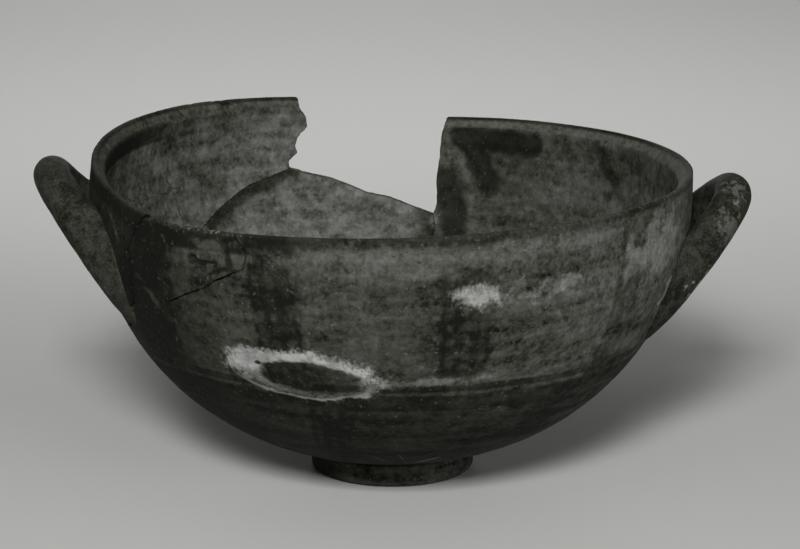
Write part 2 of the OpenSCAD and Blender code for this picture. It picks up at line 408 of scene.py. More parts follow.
# Chips: azimuth, distance out from the rim's edge, height over it, radius.
BODY_CHIPS = (
    (-62, 2.2, 1.6, 3.2), (-98, 2.6, 1.4, 3.4), (-15, 2.4, 2.0, 3.6), (22, 2.0, 2.2, 3.4),
    (48, 1.6, 2.4, 3.4), (63, 2.6, 1.8, 3.6), (-40, 2.8, 1.2, 3.3), (-108, 1.2, 2.6, 3.1),
    (-87, 1.6, 2.1, 3.0), (-70, 2.6, 1.4, 3.3), (-32, 2.2, 1.8, 3.2), (-54, 1.5, 2.3, 3.0),
    (-80, 2.8, 1.0, 3.2))
SHERD_CHIPS = (
    (-137.6, -2.4, 1.2, 3.6), (-134.4, -4.2, 0.6, 3.4), (-131.4, -3.0, 1.4, 3.6),
    (-128.4, -4.6, 0.4, 3.3), (-125.4, -3.4, 1.3, 3.5), (-122.6, -4.4, 0.6, 3.0),
    (-130, 2.2, 1.6, 3.2), (-136, 2.4, 1.4, 3.4))
# Flake scars: degrees from the front, height, half widths in degrees and mm, depth, soft edge.
SHERD_SCARS = (
    (-35.4, 110.2, 4.9, 7.4, 0.75, 0.16), (-38.6, 108.0, 1.3, 1.8, 1.3, 0.5),
    (-35.4, 107.2, 2.7, 0.9, 0.9, 0.5), (-32.4, 107.6, 1.0, 3.0, -0.7, 0.5),
    (-35.6, 114.0, 3.2, 2.2, -0.5, 0.4), (-43, 106, 2.0, 7, 0.4, 0.3))
FOOT_RELIEF, FOOT_SUNK = (0.22, 11, 0, 3), 0.2
FOOT_KEPT = (-0.1, 0.6)       # heights between which the foot's relief starts

body = wall_piece("bowl_body", "bowl_wall", VOXEL, same, same, SEEDS["wall"],
                  [rim_chip(*row) for row in BODY_CHIPS])
left = wall_piece("left_sherd", "left_wall_sherd", VOXEL, unslipped, slid, SEEDS["left"])
rear = wall_piece("rear_sherd", "rear_wall_sherd", FINE_VOXEL, rear_back, rear_out, SEEDS["rear"])
front = wall_piece("front_left_sherd", "front_rim_sherd", FINE_VOXEL, same, same, SEEDS["wall"],
                   [rim_chip(*row) for row in SHERD_CHIPS], SHERD_SCARS)

foot = fine_copy("foot_disc", "foot", VOXEL)
foot_points = coords(foot.data)
foot_relief = relief(foot_points, SEEDS["foot"], *FOOT_RELIEF) - FOOT_SUNK
foot_relief *= ease(foot_points[:, 2], *FOOT_KEPT)
foot_points = foot_points + normals(foot.data) * foot_relief[:, None]
foot_points[:, 2] = np.maximum(foot_points[:, 2], 0.0)
put(foot.data, foot_points)
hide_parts("foot_disc")
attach(foot, "root")

right_handle = handle_piece(
    "right_loop", ("right_handle", "right_front_fillet", "right_rear_fillet"),
    RIGHT, same, same, SEEDS["right_loop"])
left_handle = handle_piece(
    "left_loop", ("left_handle", "left_front_fillet", "left_rear_fillet"),
    LEFT, unslipped, slid, SEEDS["left_loop"])


# Node sums.

class Term:
    """A value in a material that ordinary arithmetic builds on."""

    def __init__(self, tree, socket):
        self.tree, self.socket = tree, socket

    def math(self, kind, *others):
        node = self.tree.nodes.new("ShaderNodeMath")
        node.operation = kind
        for slot, value in zip(node.inputs, (self,) + others):
            if isinstance(value, Term):
                self.tree.links.new(value.socket, slot)
            else:
                slot.default_value = value
        return Term(self.tree, node.outputs[0])

    def __add__(self, other):
        return self.math("ADD", other)

    __radd__ = __add__

    def __sub__(self, other):
        return self.math("SUBTRACT", other)

    def __rsub__(self, other):
        return self.math("MULTIPLY_ADD", -1.0, other)

    def __mul__(self, other):
        return self.math("MULTIPLY", other)

    def __truediv__(self, other):
        return self.math("DIVIDE", other)

    def root(self):
        return self.math("SQRT")

    def size(self):
        return self.math("ABSOLUTE")

    def least(self, other):
        return self.math("MINIMUM", other)

    def most(self, other):
        return self.math("MAXIMUM", other)

    def cycle(self, period):
        """Distance from the nearest whole number of periods."""
        return self.math("PINGPONG", period / 2)

    def step(self, low, high):
        """0 up to low and 1 from high, or the reverse when low is the larger."""
        node = self.tree.nodes.new("ShaderNodeMapRange")
        node.interpolation_type = "SMOOTHSTEP"
        self.tree.links.new(self.socket, node.inputs["Value"])
        node.inputs["From Min"].default_value = low
        node.inputs["From Max"].default_value = high
        return Term(self.tree, node.outputs["Result"])

    def within(self, low, high, soft):
        """1 between low and high and 0 outside them, with a soft edge."""
        return self.step(low - soft, low + soft) * self.step(high + soft, high - soft)

    def fade(self, share):
        """What this mark leaves of the tone under it."""
        return 1 - self * share

    def patchy(self, low, high, share):
        """1 where this noise is high, and less by the share where it is low."""
        return self.step(low, high) * share + (1 - share)

    def towards(self, other, share):
        return self + (other - self) * share


def strongest(marks):
    return functools.reduce(Term.most, marks)


def varied(base, *noises):
    """A level that each noise swings about."""
    return sum(((noise - 0.5) * swing for noise, swing in noises), base)


# Clay.

CLAY_TONE = 0.063             # albedo of a tone of 1
TONE_LIMITS = (0.004, 0.75)
GREEN = 1.015                 # green over red
# Blue over red is the least of these three: slope and start for dark and for mid tones, and a top.
BLUE_DARK, BLUE_MID, BLUE_TOP = (3.0, 0.70), (0.5, 0.875), 0.97
CLAY_ROUGH, CLAY_SHINE = 0.78, 0.09
BUMP_STRENGTH, BUMP_HEIGHT = 0.5, 0.6
FINE_BUMP, FINE_BUMP_SHARE = (0.6, 1, 3), 0.15


class Clay:
    """The values that every clay material is built from."""

    def __init__(self, name, slid=False, shift=(0, 0, 0)):
        self.mat = bpy.data.materials.new(name)
        self.mat.use_nodes = True
        self.tree = self.mat.node_tree
        self.shader = self.tree.nodes["Principled BSDF"]
        place = self.tree.nodes.new("ShaderNodeTexCoord").outputs["Object"]
        place = self.moved(place, (0, 0, 0), (0, 0, 0), 1 / MM)
        place = self.moved(place, shift, (0, 0, 0))
        if slid:
            place = self.moved(place, (-SLIP_OUT, 0, SLIP_DROP - BELLY_Z), (0, 0, -SLIP_AZ))
            place = self.moved(place, (0, 0, BELLY_Z), (0, SLIP, 0))
            place = self.moved(place, (0, 0, 0), (0, 0, SLIP_AZ))
        self.place = place
        cut = self.tree.nodes.new("ShaderNodeSeparateXYZ")
        self.tree.links.new(place, cut.inputs[0])
        self.x, self.y, self.z = (Term(self.tree, s) for s in cut.outputs)

    def moved(self, vector, shift, turn, scale=1.0):
        node = self.tree.nodes.new("ShaderNodeMapping")
        node.inputs["Location"].default_value = shift
        node.inputs["Rotation"].default_value = [math.radians(v) for v in turn]
        node.inputs["Scale"].default_value = (scale,) * 3
        self.tree.links.new(vector, node.inputs["Vector"])
        return node.outputs["Vector"]

    def noise(self, size, detail=2, shift=0.0, flat=1.0, rough=0.5):
        """Noise with lumps about size mm across, drawn out level when flat is less than 1."""
        node = self.tree.nodes.new("ShaderNodeMapping")
        node.inputs["Location"].default_value = (shift, shift * 1.7, shift * 0.6)
        node.inputs["Scale"].default_value = (flat / size, flat / size, 1 / size)
        self.tree.links.new(self.place, node.inputs["Vector"])
        tex = self.tree.nodes.new("ShaderNodeTexNoise")
        tex.inputs["Scale"].default_value = 1
        tex.inputs["Detail"].default_value = detail
        tex.inputs["Roughness"].default_value = rough
        self.tree.links.new(node.outputs["Vector"], tex.inputs["Vector"])
        return Term(self.tree, tex.outputs["Fac"])

    def specks(self, noise, limits):
        return self.noise(*noise).step(*limits)

    def finish(self, tone, bump):
        """Turns a tone into a slightly olive grey and adds fine relief."""
        low, high = TONE_LIMITS
        tone = (tone * CLAY_TONE).most(low).least(high)
        blue = (tone * BLUE_DARK[0] + BLUE_DARK[1]).least(tone * BLUE_MID[0] + BLUE_MID[1])
        blue = blue.least(BLUE_TOP)
        join = self.tree.nodes.new("ShaderNodeCombineColor")
        for slot, value in zip(join.inputs, (tone, tone * GREEN, tone * blue)):
            self.tree.links.new(value.socket, slot)
        self.tree.links.new(join.outputs[0], self.shader.inputs["Base Color"])
        self.shader.inputs["Roughness"].default_value = CLAY_ROUGH
        self.shader.inputs["Specular IOR Level"].default_value = CLAY_SHINE
        bump = bump + self.noise(*FINE_BUMP) * FINE_BUMP_SHARE
        node = self.tree.nodes.new("ShaderNodeBump")
        node.inputs["Strength"].default_value = BUMP_STRENGTH
        node.inputs["Distance"].default_value = BUMP_HEIGHT * MM
        self.tree.links.new(bump.socket, node.inputs["Height"])
        self.tree.links.new(node.outputs["Normal"], self.shader.inputs["Normal"])
        return self.mat


# Clay of the wall.

# Places on the wall are degrees from the front, to the right, and heights in mm.
# Noises: size of the lumps, detail, place, how far drawn out level, roughness.
BIG, MID, SMALL, GRAIN, FLECK = (44, 2, 1), (13, 3, 2), (4.4, 3, 5), (1.3, 2, 7), (2.3, 2, 97)
SWEPT, FRAY, COMB = (4.6, 3, 11, 0.14), (5.5, 4, 71, 0.8, 0.68), (2.6, 3, 83, 2.4, 0.6)
SIDEWAYS, SIDEWAYS_BY = (14, 2, 3.1), 2.0
UPWARDS, UPWARDS_BY = (12, 3, 8.4), 5
BAND_WAVE, BAND_WAVE_BY = (30, 2, 61), 2.4
BLOT, BLOT_BY = (6, 4, 91), 8
LIGHT_SPECK, DARK_SPECK = ((1.5, 1, 31), (0.675, 0.75)), ((1.7, 1, 47), (0.68, 0.77))
# Depths in the wall at which its outside ends and its inside starts.
OUTSIDE, INSIDE = (3.8, 2.6), (5.0, 6.0)

# Ladders: middle, half width, lean and the height it turns about, bottom, top, darkness,
# how open between strokes, spacing of bars.
LADDERS = (
    (-21.4, 4.3, 0.030, 77, 60, 121, 1.0, 0.40, 5.4), (13.9, 4.9, 0.0, 77, 62, 94, 1.0, 0.62, 7.5),
    (13.9, 4.9, 0.0, 77, 94, 121, 0.62, 0.5, 9), (50.6, 4.7, -0.03, 77, 57, 121, 0.65, 0.5, 6.4),
    (-12.6, 5.4, -0.19, 50, 8, 52, 0.95, 0.6, 3.6), (123, 4.6, 0.03, 77, 60, 124, 0.7, 0.6, 5.6),
    (160, 4.6, 0.0, 77, 60, 124, 0.7, 0.6, 6.3), (-159, 4.6, 0.02, 77, 60, 124, 0.7, 0.6, 5.8),
    (-124, 4.6, 0.0, 77, 60, 124, 0.7, 0.6, 6.1), (88, 5.0, -0.1, 50, 10, 52, 0.5, 0.6, 4.0),
    (-150, 5.0, -0.1, 50, 10, 52, 0.5, 0.6, 4.0))
LADDER_FRAY, LADDER_EDGE, LADDER_END = 2, (0.8, -0.5), 1.5
STROKE_SHARES, BAR_SHARES, OPEN_AT_BARS, BAR_WAVE_BY = (0.10, 0.27), (0.10, 0.26), 0.25, 5
# A broad dark zone beside the left handle. Each edge: turn at the rim, lean, fray, softness,
# which is negative where the zone ends.
ZONE_EDGES, ZONE_DARK, PAINT_TOP = ((-52, 0.22, 1, 3.5), (-43.5, 0.045, 0.7, -2.5)), 0.9, 121
ZONE_BELOW, JAGGED_MID, JAGGED_SMALL = (54, 66), 9, 7
# A tapering dark wedge low on the right: turn of its left edge, height of the tip, lean.
DARK_WEDGE_LEFT, DARK_WEDGE_EDGE, DARK_WEDGE_DARK = (34.5, 35, 0.08), 3, 0.75
DARK_WEDGE_RIGHT, DARK_WEDGE_BELOW, DARK_WEDGE_ABOVE = (50, 43), (20, 32), (59, 54)
# Level bands: bottom, top, soft edge, darkness, and what brush marks add to it.
LEVEL_BANDS = (
    (58.8, 61.8, 0.5, 0.98, 0), (49.8, 56.8, 0.5, 0.30, 0.8), (54.9, 55.8, 0.25, 0.9, 0),
    (51.6, 52.6, 0.3, 0.75, 0), (38, 49, 2.5, -0.175, 0.7))
PAINT_DARK, PAINT_WORN, WORN_NOISE = 0.78, 0.32, (0.50, 0.64)
# Faded paint on the rim: heights, and the wider piece on the left; it runs less level than the rim.
RIM_PAINT, RIM_PAINT_TILT = (117.5, 122.6, 1.2), 0.0366
RIM_PAINT_LEFT, RIM_PAINT_TURNS = (114.5, 121.4, 0.8), (-56, -16, 4)
# The wall darkens at the bands and further down, and the foot has a share of that.
LOWER_DARK, FOOT_TOP, FOOT_SHARE = (((61, 56), 0.48), ((56, 14), 0.50)), (8, 11), 0.2
# Painted shade on the left of the outside: turns where it starts and is full towards the front, the
# same towards the back, heights at which it stops under the lip, darkness.
SHADED_LEFT_FRONT, SHADED_LEFT_BACK, SHADED_LEFT_LIP, SHADED_LEFT_DARK = (-28, -56), (-150, -118), (121, 117.5), 0.70

# Pale patches and one painted highlight: middle, height, half width, half height, tilt, how much
# smaller, how frayed, combed and lumpy the edge is, where the edge ends and is full, strength.
LIME_BLOB = (15.9, 98.8, 4.6, 4.4, 0, 0, 2.6, 1, 0, 1.35, 0.35, 1)
PALE_PATCHES_AND_SHEEN = (
    (28, 98.5, 14, 5.5, 0.12, 0.35, 4.0, 0.5, 0, 1.2, 0.1, 0.44),
    (8, 63.6, 12, 2.0, 0.12, 0, 3.2, 1, 0, 1.2, 0.3, 0.32),
    # Painted highlight: the sheen on the upper right of the body, beside the right handle.
    (59, 104, 15, 19, 0, 0.05, 2.6, 0, 1.2, 1.05, 0.15, 0.52),
    (6, 113, 32, 7, 0, 0, 2.6, 0, 0, 1.1, 0.4, 0.13),
    (69, 82, 5, 9, 0, 0, 3.4, 0, 0, 0.9, 0.4, 0.8),
    (-65, 90, 4, 4, 0, 0, 3.4, 0, 0, 0.8, 0.4, 0.8),
    (-34.8, 114.2, 4.4, 2.8, 0, 0, 2.4, 1, 0, 1.2, 0.4, 0.14),
    (13.5, 20, 5, 1.3, 0.35, 0, 1.2, 0, 0, 1.0, 0.6, 0.3))
# Turns of the worn lip and of the bits of clay on the rim, and heights of a faint lime line.
WORN_LIP, RIM_BITS, LIME_LINE = (-73, -57.5, 1.5), (-48, -31, 2), (57.2, 58.2, 0.3)
WORN_LIP_TOP, RIM_BITS_TOP = (119.5, 121.5), (118.5, 120.5)
# The pale ring: its outer and inner outline and the thin lower edge.
RING_OUT, RING_IN = (-18.8, 66.0, 16.6, 10.4, -0.11), (-16.6, 64.2, 10.9, 6.7, -0.14)
RING_EDGE = (-19.2, 64.6, 15.4, 9.2, -0.14)
RING_OUT_EDGE, RING_IN_EDGE, RING_UPPER, RING_LOWER = (1.12, 0.74), (0.90, 1.14), (58, 68), (64, 59)
RING_LINE, RING_MIDDLE = (0.10, 0.01), (1.0, 0.7)
INK_DOT, DOT_EDGE = (-27.4, 68.8, 0.75, 0.9), (1.3, 0.7)

# Strokes: from, to, distance at which each ends and is full, strength.
STREAKS = (
    ((-63.5, 111), (-59.5, 104), 1.9, 0.4, 1), ((-49.6, 119.6), (-48.4, 116), 1.3, 0.3, 1),
    ((-46, 115.6), (-44.6, 112.2), 1.3, 0.3, 1))
SHERD_TIP = (((-55, 95), (-50, 86), 3.0, 0.6, 0.12),)
SCRATCHES = (((-6, 24), (0, 17), 0.6, 0.15, 0.14), ((2, 24.5), (7, 16), 0.5, 0.15, 0.14))
GROOVES = (
    ((-38.8, 108.3), (-35.6, 106.6), 1.3, 0.4, 1), ((-30.6, 117), (-30.2, 107.5), 1.6, 0.4, 1),
    ((-30.4, 107), (-34.4, 103.2), 1.2, 0.3, 1), ((-35.4, 107.2), (-32.6, 108.2), 0.9, 0.3, 0.8))
GROOVE_PIT, PIT_EDGE = (-38.7, 108, 1.1, 1.7), (1.4, 0.7)
BRUSHED_INSIDE = (
    ((164, 117), (158.5, 96), 12.5, 7.5, 0.95), ((167.5, 96), (165.5, 73), 13.5, 8, 0.95),
    ((165, 114.5), (148, 113), 11.5, 7, 0.95), ((130.6, 116), (124.4, 104), 9, 5.5, 0.665))
# On the inside of the rear sherd, painted shadow: along the left sherd's edge, which stands proud
# of it, and painted shade in its right corner.
SHADE_LEFT = ((-134.9, 83.2), (-145.7, 93.0), (-158.0, 101.0))
SHADE_CORNER = ((171.0, 70.0), (172.5, 84.0))
# Distances in mm at which these painted shades end and are full.
SHADE_WIDE, SHADE_NARROW, CORNER_EDGE = (12, 3), (4.5, 2.0), (10, 5)
CRACK_CELL, CRACK_BEND, CRACK_SWIRL, CRACK_WIDTH = 15, 9, 9, (0.035, 0.008)
# Painted light: the inside is lightest this many degrees to the left of the back, where it faces
# the lamps; and how it falls off.
LIT_FAR_SIDE, LIT_FAR_SHARES = 10, (0.80, 0.94)
# Other places inside: turns or heights, and how soft their edges are. The side beside the gap and
# the right of the inside carry painted shade, where the inside faces away from the lamps.
UNDER_LIP, UNDER_LIP_LEFT, SHADED_GAP_SIDE = (108.6, 117.4, 0.8), (-122, -50, 16), (146, 172, 7)
SHADED_RIGHT_INSIDE, FLOOR_INSIDE, CRACKED_SIDE = (50, 150, 20), (45, 15), (-132, -72, 8)
# Tones, and places where the outside and the bare clay are lighter or darker; the lighter right of
# the outside is painted light, where the lamps fall on it.
CLAY_LEVEL, OUTSIDE_SHARE, RIGHT_PAINTED_LIGHT = 0.74, 0.64, 0.58
LIT_RIGHT_STARTS, LIT_RIGHT_ENDS, BRUSHED_BELOW = (0, 45), (120, 75), (60, 52)
RING_TONE, RING_COVER, PALE_TONE, PALE_COVER = 5.6, 0.84, 3.9, 0.86
BARE_TONE, LIP_TOP, LIP_LIGHTER = 0.55, (117, 120), 0.40
FRONT_LIP, FRONT_RIM = (-62, 62, 20), (-62, 70, 20)
GAP_FACES, GAP_FACE_TOP = (125, 175, 8), (119, 116)


class WallClay(Clay):
    """Grey fired clay with faded painted bands, worn patches and lime spots."""

    def __init__(self, name, slid=False, shift=(0, 0, 0)):
        super().__init__(name, slid, shift)
        self.is_rear = any(shift)
        self.r = (self.x * self.x + self.y * self.y).root()
        low, out = (self.z - BELLY_Z).least(0), self.r - RING_R
        depth = BELLY_R - (out * out + low * low).root()
        self.outside, self.inside = depth.step(*OUTSIDE), depth.step(*INSIDE)
        self.turn = self.x.math("ARCTAN2", self.y * -1) * (180 / math.pi)
        self.wobble = self.noise(*SIDEWAYS) - 0.5
        self.turn_w = self.turn + self.wobble * SIDEWAYS_BY
        self.z_w = self.z + (self.noise(*UPWARDS) - 0.5) * UPWARDS_BY
        self.big, self.mid, self.small = self.noise(*BIG), self.noise(*MID), self.noise(*SMALL)
        self.grain, self.fleck = self.noise(*GRAIN), self.noise(*FLECK)
        self.swept, self.blot = self.noise(*SWEPT), self.noise(*BLOT) * BLOT_BY
        self.fray, self.comb = self.noise(*FRAY) - 0.5, self.noise(*COMB) - 0.5
        self.band_z = self.z + (self.noise(*BAND_WAVE) - 0.5) * BAND_WAVE_BY
        self.ring_in = self.oval(*RING_IN) + self.fray * 0.5

    def oval(self, turn, z, half_turn, half_z, tilt=0.0):
        """Distance from the middle of an oval on the wall, 1 on its edge."""
        u = self.turn_w - turn
        v = ((self.z_w - z) - u * tilt) / half_z
        u = u / half_turn
        return (u * u + v * v).root()

    def patch(self, turn, z, half_turn, half_z, tilt, less, fray, comb, lumps, end, full, strength):
        """A patch with a frayed edge."""
        e = self.oval(turn, z, half_turn, half_z, tilt) + less
        e = e + self.fray * fray + self.comb * comb + (self.mid - 0.5) * lumps
        return e.step(end, full) * strength

    def line(self, a, b):
        """Distance in mm from a line between two places on the wall."""
        k = RIM_R * math.pi / 180
        ax, ay, bx, by = a[0] * k, a[1], b[0] * k, b[1]
        dx, dy = bx - ax, by - ay
        px, py = self.turn_w * k - ax, self.z_w - ay
        t = ((px * dx + py * dy) / (dx * dx + dy * dy)).most(0).least(1)
        ex, ey = px - t * dx, py - t * dy
        return (ex * ex + ey * ey).root()

    def strokes(self, rows, blot=0):
        """Brushed or scratched strokes, the strongest at each place."""
        return strongest([(self.line(a, b) + blot).step(end, full) * strength
                          for a, b, end, full, strength in rows])

    def ladders(self):
        """Tall ladders, each of brushed strokes with bars across."""
        marks = []
        for middle, half, lean, about, low, high, dark, openness, spacing in LADDERS:
            u = self.turn_w - middle + (self.z_w - about) * lean
            frayed = u.size() + (self.small - 0.5) * LADDER_FRAY
            mask = frayed.step(half + LADDER_EDGE[0], half + LADDER_EDGE[1])
            mask = mask * self.z_w.within(low, high, LADDER_END)
            stroke = (u + half).cycle(half * 2 / 3).step(*(half * v for v in STROKE_SHARES))
            bar = (self.z + self.wobble * BAR_WAVE_BY).cycle(spacing)
            bar = bar.step(*(spacing * v for v in BAR_SHARES))
            open_part = stroke * (bar * (1 - OPEN_AT_BARS) + OPEN_AT_BARS)
            marks.append(mask * open_part.fade(openness) * dark)
        return strongest(marks)

    def paint(self):
        """All that is dark on the outside: painted ladders, zone and bands, and a dark wedge low on
        the right.
        """
        z, t = self.z_w, self.turn_w
        jagged = (self.mid - 0.5) * JAGGED_MID + (self.small - 0.5) * JAGGED_SMALL
        zone = z.step(*ZONE_BELOW) * ZONE_DARK
        for turn, lean, frayed, soft in ZONE_EDGES:
            edge = t - turn + (PAINT_TOP - z) * lean + jagged * frayed
            zone = zone * edge.step(-soft, soft)
        turn, about, lean = DARK_WEDGE_LEFT
        dark_wedge = (t - turn + (z - about).size() * lean).step(-DARK_WEDGE_EDGE, DARK_WEDGE_EDGE)
        dark_wedge = dark_wedge * t.step(*DARK_WEDGE_RIGHT)
        dark_wedge = dark_wedge * z.step(*DARK_WEDGE_BELOW) * z.step(*DARK_WEDGE_ABOVE) * DARK_WEDGE_DARK
        bands = [self.band_z.within(low, high, soft) * (self.swept * brushed + dark)
                 for low, high, soft, dark, brushed in LEVEL_BANDS]
        worn = (self.small * 0.55 + self.mid * 0.55).step(*WORN_NOISE)
        paint = strongest([self.ladders(), zone, dark_wedge] + bands)
        return paint * worn.fade(PAINT_WORN) * self.outside

    def ring(self):
        """The pale ring on the front, faint below and with a thin lower edge."""
        outer = self.oval(*RING_OUT) + self.fray * 1.0 + self.comb * 0.55
        upper = self.z_w.step(*RING_UPPER)
        ring = outer.step(*RING_OUT_EDGE) * self.ring_in.step(*RING_IN_EDGE)
        ring = ring * (upper * 0.82 + 0.28).least(1)
        ring = ring * self.mid.patchy(0.34, 0.55, 0.35) * self.small.patchy(0.30, 0.52, 0.4)
        edge = (self.oval(*RING_EDGE) + self.fray * 0.35 - 1).size().step(*RING_LINE)
        edge = edge * self.z_w.step(*RING_LOWER)
        return ring.most(edge * (self.mid * 0.6 + self.small * 0.7 - 0.2).least(0.6))

    def pale(self):
        """Lime, worn places, scratches and a painted highlight on the outside."""
        small = self.small
        blob = self.patch(*LIME_BLOB) * small.patchy(0.3, 0.5, 0.4)
        worn_lip = self.turn.within(*WORN_LIP) * self.z.step(*WORN_LIP_TOP)
        rim_bits = self.turn.within(*RIM_BITS) * self.z.step(*RIM_BITS_TOP)
        lime_line = self.band_z.within(*LIME_LINE) * small.step(0.36, 0.56)
        marks = [blob] + [self.patch(*row) for row in PALE_PATCHES_AND_SHEEN]
        marks += [worn_lip * (small * 0.6 + 0.25),
                  rim_bits * self.grain.step(0.5, 0.62) * 0.5,
                  self.strokes(STREAKS) * (small - 0.3) * 0.3,
                  self.strokes(SHERD_TIP) * small.step(0.4, 0.6),
                  self.strokes(SCRATCHES),
                  lime_line * 0.06]
        return strongest(marks) * self.outside

    def grooves(self):
        """Dark lines of the flake scar beside the left handle."""
        pit = self.oval(*GROOVE_PIT).step(*PIT_EDGE)
        return self.strokes(GROOVES).most(pit) * self.outside * (self.small + 0.4)

    def rim_line(self):
        """Faded paint along the outside of the rim, darker beside the left handle."""
        small, mid = self.small, self.mid
        level = self.z - self.x * RIM_PAINT_TILT
        thin = level.within(*RIM_PAINT)
        thin = thin * ((small * 0.6 + mid * 0.6).step(0.48, 0.66) * 0.34 + 0.22)
        wide = level.within(*RIM_PAINT_LEFT) * self.turn.within(*RIM_PAINT_TURNS)
        return thin.most(wide * (mid * 0.9 + 0.25)) * self.outside

    def below(self):
        """The darker lower wall; the foot is darkened less."""
        (band, by), (slope, more) = LOWER_DARK
        lower = 1 - self.z_w.step(*band).fade(by) * self.z_w.step(*slope).fade(more)
        return lower * (self.z.step(*FOOT_TOP) * (1 - FOOT_SHARE) + FOOT_SHARE)

    def shaded_left(self):
        """Painted shade: the left side of the outside darker, clear of the lip."""
        shaded_left = self.turn.step(*SHADED_LEFT_FRONT) * self.turn.step(*SHADED_LEFT_BACK)
        return shaded_left * varied(SHADED_LEFT_DARK, (self.mid, 0.45)) * self.z.step(*SHADED_LEFT_LIP)

    def cracks(self):
        """A net of fine cracks, strongest on the left of the inside."""
        cells = self.tree.nodes.new("ShaderNodeTexVoronoi")
        cells.feature = "DISTANCE_TO_EDGE"
        cells.inputs["Scale"].default_value = 1 / CRACK_CELL
        bent = self.tree.nodes.new("ShaderNodeVectorMath")
        bent.operation = "MULTIPLY_ADD"
        bent.inputs[1].default_value = (CRACK_BEND,) * 3
        swirl = self.tree.nodes.new("ShaderNodeTexNoise")
        swirl.inputs["Scale"].default_value = 1 / CRACK_SWIRL
        self.tree.links.new(self.place, swirl.inputs["Vector"])
        self.tree.links.new(swirl.outputs["Color"], bent.inputs[0])
        self.tree.links.new(self.place, bent.inputs[2])
        self.tree.links.new(bent.outputs[0], cells.inputs["Vector"])
        crack = Term(self.tree, cells.outputs["Distance"]).step(*CRACK_WIDTH)
        crack = crack * (self.mid * 0.5 + self.small * 0.5).step(0.44, 0.56)
        left = self.turn_w.within(*CRACKED_SIDE)
        return crack * (self.inside * left * 0.8 + self.outside * 0.06)

    def inner(self, tone):
        """The inside: a dark line under the lip, brush strokes and pale sediment, painted light on
        the far side, painted shade on the right and on the rear piece, and darker towards the
        floor.
        """
        z, t, mid, small = self.z_w, self.turn_w, self.mid, self.small
        under_lip = self.z.within(*UNDER_LIP) * mid.patchy(0.2, 0.5, 0.4)
        under_lip = under_lip * (t.within(*UNDER_LIP_LEFT) * 0.85 + 0.25)
        dark = under_lip.most(self.strokes(BRUSHED_INSIDE, self.blot))
        sediment = (mid * 0.5 + small * 0.55).step(0.47, 0.62)
        # Painted light on the far inside, which faces the lamps.
        a = math.radians(LIT_FAR_SIDE)
        far = ((self.y * math.cos(a) - self.x * math.sin(a)) / self.r).step(*LIT_FAR_SHARES)
        # Painted shade on the inside beside the gap.
        shaded_near_gap = t.within(*SHADED_GAP_SIDE) * mid.patchy(0.35, 0.6, 0.5) * far.fade(0.4)
        inner = (tone * 0.85 + 0.17 + sediment * 0.30) * (far * 0.25 + 1.0)
        inner = inner * dark.fade(0.86) * shaded_near_gap.fade(0.5)
        # Painted shade on the right of the inside; darker towards the floor.
        inner = inner * t.within(*SHADED_RIGHT_INSIDE).fade(0.26) * z.step(*FLOOR_INSIDE).fade(0.3)
        # Painted shadow of the left piece's proud edge, and painted shade in the rear piece's right
        # corner.
        if self.is_rear:
            a, b, c = SHADE_LEFT
            edge = self.line(a, b).least(self.line(b, c))
            corner_shade = self.line(*SHADE_CORNER) + self.blot
            inner = inner * (edge + self.blot).step(*SHADE_WIDE).fade(0.5)
            inner = inner * edge.step(*SHADE_NARROW).fade(0.55)
            inner = inner * corner_shade.step(*CORNER_EDGE).fade(0.5)
        return inner

    def outer(self, tone, ring, pale):
        """The outside, with its paint, painted light on the right, painted shade on the left, ring
        and pale marks, one of them a painted highlight.
        """
        t, small, grain, fleck = self.turn_w, self.small, self.grain, self.fleck
        # Painted light: the right of the outside is lighter.
        right = t.step(*LIT_RIGHT_STARTS) * t.step(*LIT_RIGHT_ENDS)
        outer = tone * OUTSIDE_SHARE * (right * RIGHT_PAINTED_LIGHT + 1) * self.paint().fade(PAINT_DARK)
        # Painted shade darkens the left side here, with the lower wall and the rim line.
        outer = outer * self.below().fade(1) * self.shaded_left().fade(1) * self.rim_line().fade(1)
        outer = outer * self.ring_in.step(*RING_MIDDLE).fade(0.3)
        lime = varied(RING_TONE, (grain, 3.6), (small, 2.8))
        # The tone of the pale marks, and of the painted highlight among them.
        worn = varied(PALE_TONE, (grain, 3.2), (fleck, 3.0))
        return outer.towards(lime, ring * RING_COVER).towards(worn, pale * PALE_COVER)

    def broken(self):
        """Bare clay in the breaks and on the lip."""
        z, t = self.z, self.turn_w
        bare = varied(BARE_TONE, (self.small, 1.1), (self.fleck, 1.0), (self.grain, 0.9))
        bare = bare + z.step(*LIP_TOP) * t.within(*FRONT_LIP).fade(0.8) * LIP_LIGHTER
        gap_face = t.within(*GAP_FACES) * z.step(*GAP_FACE_TOP)
        return bare * gap_face.fade(0.7) * t.within(*FRONT_RIM).fade(0.35)

    def material(self):
        small, grain, swept = self.small, self.grain, self.swept
        tone = varied(CLAY_LEVEL, (self.big, 0.8), (self.mid, 1.15), (small, 1.35),
                      (self.fleck, 1.1), (grain, 1.1))
        tone = tone + (swept - 0.5) * (self.z_w.step(*BRUSHED_BELOW) * 1.2 + 1.7)
        ring, pale, groove, crack = self.ring(), self.pale(), self.grooves(), self.cracks()
        raw = self.outside.fade(1) * self.inside.fade(1)
        tone = (self.outer(tone, ring, pale) * self.outside + self.inner(tone) * self.inside
                + self.broken() * raw)
        light, dark = self.specks(*LIGHT_SPECK), self.specks(*DARK_SPECK)
        tone = tone * dark.fade(0.5) + light * 0.5
        dot = self.oval(*INK_DOT).step(*DOT_EDGE) * self.outside
        tone = tone * groove.fade(0.75) * dot.fade(0.93) * crack.fade(0.7)
        bump = swept * 0.9 + small * 0.6 + grain * 0.45 + pale * 0.6 + ring * 0.3
        bump = bump - dark * 0.4 - crack * 0.8 - groove * 0.6
        return self.finish(tone, bump)


# Clay of the handles.

